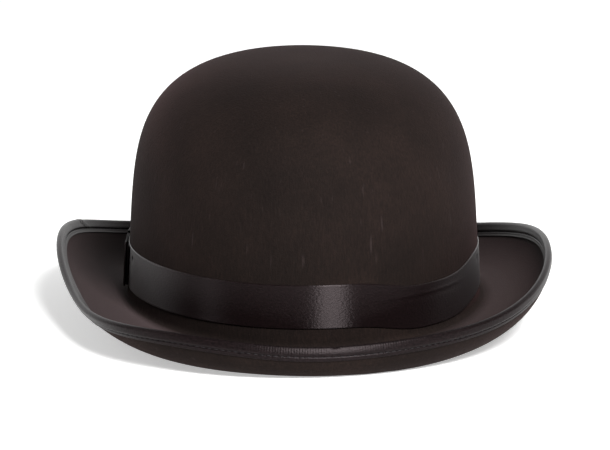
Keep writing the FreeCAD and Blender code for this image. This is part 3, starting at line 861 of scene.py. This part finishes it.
def sweatband_bow():
    """Small flat bow of lining tape over the sweatband's joint."""
    low, high = (corner.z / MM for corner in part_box("sweatband_bow"))
    tall = high - low
    loops = ribbon_loops("loops", sweat_point, 9.6, low, tall, deep=0.3, lift=0.1)
    knot = ribbon_knot("knot", sweat_point, 3.6, low + 0.6, tall - 1.2, deep=0.7)
    return joined("sweatband_bow_tape", [loops, knot])


SWEAT = finish_piece(sweatband(), "sweatband", leather)
finish_piece(sweatband_stitches(), "sweatband_stitching", thread)
finish_piece(sweatband_bow(), "sweatband_bow", lining)


# ---- lining ----------------------------------------------------------------------------------

def gathers(phi):
    """Between nought and one: small uneven pleats taken up by the seam of side and tip."""
    return (0.5 + 0.5 * np.cos(92 * phi + 1.3 * np.sin(5 * phi) + 0.9 * np.sin(13 * phi))) ** 2


LINING_MIDDLE = FELT + LINING_GAP + LINING_THICK / 2


def lining_side():
    """Strip round the inside of the crown, slack at its foot and gathered at its top."""
    phi = angles(1104)
    rows = []
    for part in np.linspace(0, 1, 24):
        height = LINING_FOOT + part * (LINING_SEAM - LINING_FOOT)
        slack = 0.3 * (1 - part) * (1 + np.sin(4 * phi + 2 * part)) / 2
        deep = slack + 0.75 * part ** 3 * gathers(phi)
        rows.append(crown_point(phi, height, LINING_MIDDLE + deep))
    return thin_sheet("lining_side_satin", rows[::-1], LINING_THICK, around=True)


def lining_tip():
    """Oval inside the top of the crown, puckered at its edge by the seam."""
    phi = angles(552)
    seam = float(crown_share(LINING_SEAM, LINING_MIDDLE))
    rows = []
    for part in np.linspace(0, 1, 26) ** 0.8:
        share = seam + part * (0.015 - seam)
        inset = LINING_MIDDLE + 0.35 * np.exp(-part * 16) * gathers(phi)
        height = float(crown_height(share, LINING_MIDDLE)) - 0.5 * part
        rows.append(crown_point(phi, height, inset, share))
    pole = crown_point(0.0, rows[-1][0, 2], 0.0, 0.0)
    tip = thin_sheet("lining_tip_satin", rows[::-1], LINING_THICK, around=True,
                     poles=(pole, None))
    return lay_flat_uv(tip)


def lining_piping():
    """Cord of bias satin twisted round a thread, sewn in between side and tip."""
    phi = angles(1080)
    rows = []
    for turn in np.linspace(0, TURN, 11)[:-1]:
        radius = PIPING / 2 * (0.93 + 0.07 * np.cos(210 * phi + turn))
        inset = FELT + LINING_GAP + LINING_THICK + PIPING / 2 - radius * math.cos(turn)
        rows.append(crown_point(phi, LINING_SEAM + radius * math.sin(turn), inset))
    return grid_mesh("lining_piping_cord", rows, looped=True)


SIDE = finish_piece(lining_side(), "lining_side", lining)
TIP = finish_piece(lining_tip(), "lining_tip", lining)
PIPED = finish_piece(lining_piping(), "lining_piping", lining)


# ---- studio ----------------------------------------------------------------------------------

def studio():
    """White floor lit from beneath, in a surround bright behind the hat and dim before it."""
    made, tree = new_material("studio_paper")
    shader = add(tree, "ShaderNodeBsdfPrincipled", {
        "Base Color": colour("#fbfbfa"), "Roughness": 0.95, "Specular IOR Level": 0.1,
        "Emission Color": (1.0, 1.0, 1.0, 1.0), "Emission Strength": 0.45})
    add(tree, "ShaderNodeOutputMaterial", {"Surface": shader.outputs[0]})
    size = 6.0
    mesh = bpy.data.meshes.new("studio_floor")
    mesh.from_pydata([(-size, -size, 0), (size, -size, 0), (size, size, 0), (-size, size, 0)],
                     [], [(0, 1, 2, 3)])
    floor = new_object("studio_floor", mesh)
    floor.data.materials.append(made)
    world = bpy.data.worlds.new("studio_surround")
    world.use_nodes = True
    tree = world.node_tree
    way = add(tree, "ShaderNodeTexCoord").outputs["Generated"]
    split = add(tree, "ShaderNodeSeparateXYZ", {"Vector": way})
    behind = add(tree, "ShaderNodeMapRange", {"Value": split.outputs["Y"], "From Min": 0.15,
                                              "From Max": 0.5, "To Min": 0.05, "To Max": 1.4})
    overhead = add(tree, "ShaderNodeMapRange", {"Value": split.outputs["Z"], "From Min": 0.6,
                                                "From Max": 0.8, "To Min": 1.0, "To Max": 0.2})
    glow = add(tree, "ShaderNodeMath", {0: behind.outputs[0], 1: overhead.outputs[0]},
               operation="MULTIPLY")
    back = tree.nodes["Background"]
    back.inputs["Color"].default_value = (1.0, 1.0, 1.0, 1.0)
    tree.links.new(glow.outputs[0], back.inputs["Strength"])
    bpy.context.scene.world = world
    bpy.context.scene.view_settings.view_transform = "Standard"


def stand_off(held, target, azimuth, elevation, distance):
    """Puts a light or camera a way off a target and turns it to face there. Azimuth 0 is
    straight behind the wearer, more to the wearer's right; both angles are degrees."""
    a = math.radians(azimuth)
    e = math.radians(elevation)
    way = Vector((math.sin(a) * math.cos(e), -math.cos(a) * math.cos(e), math.sin(e)))
    held.location = Vector(target) + way * distance
    held.rotation_euler = way.to_track_quat("Z", "Y").to_euler()
    bpy.context.scene.collection.objects.link(held)


def soft_light(name, azimuth, elevation, distance, width, height, power):
    """Soft oblong light aimed at the middle of the hat."""
    lamp = bpy.data.lights.new(name, "AREA")
    lamp.shape = "RECTANGLE"
    lamp.size = width
    lamp.size_y = height
    lamp.energy = power
    stand_off(bpy.data.objects.new(name, lamp), (0, 0, 0.06), azimuth, elevation, distance)


def camera():
    """Eye a little above the brim, square on to the hat's back, from about two metres."""
    lens = bpy.data.cameras.new("camera")
    lens.sensor_width = 36.0
    lens.lens = 236.0
    held = bpy.data.objects.new("camera", lens)
    stand_off(held, (0.0007, 0, 0.0415), azimuth=-1.7, elevation=11.95, distance=1.913)
    bpy.context.scene.camera = held


studio()
soft_light("key_light", azimuth=21, elevation=40, distance=1.5, width=0.5, height=0.6, power=38)
soft_light("fill_light", azimuth=-78, elevation=30, distance=1.6, width=0.35, height=0.9,
           power=2.4)
camera()
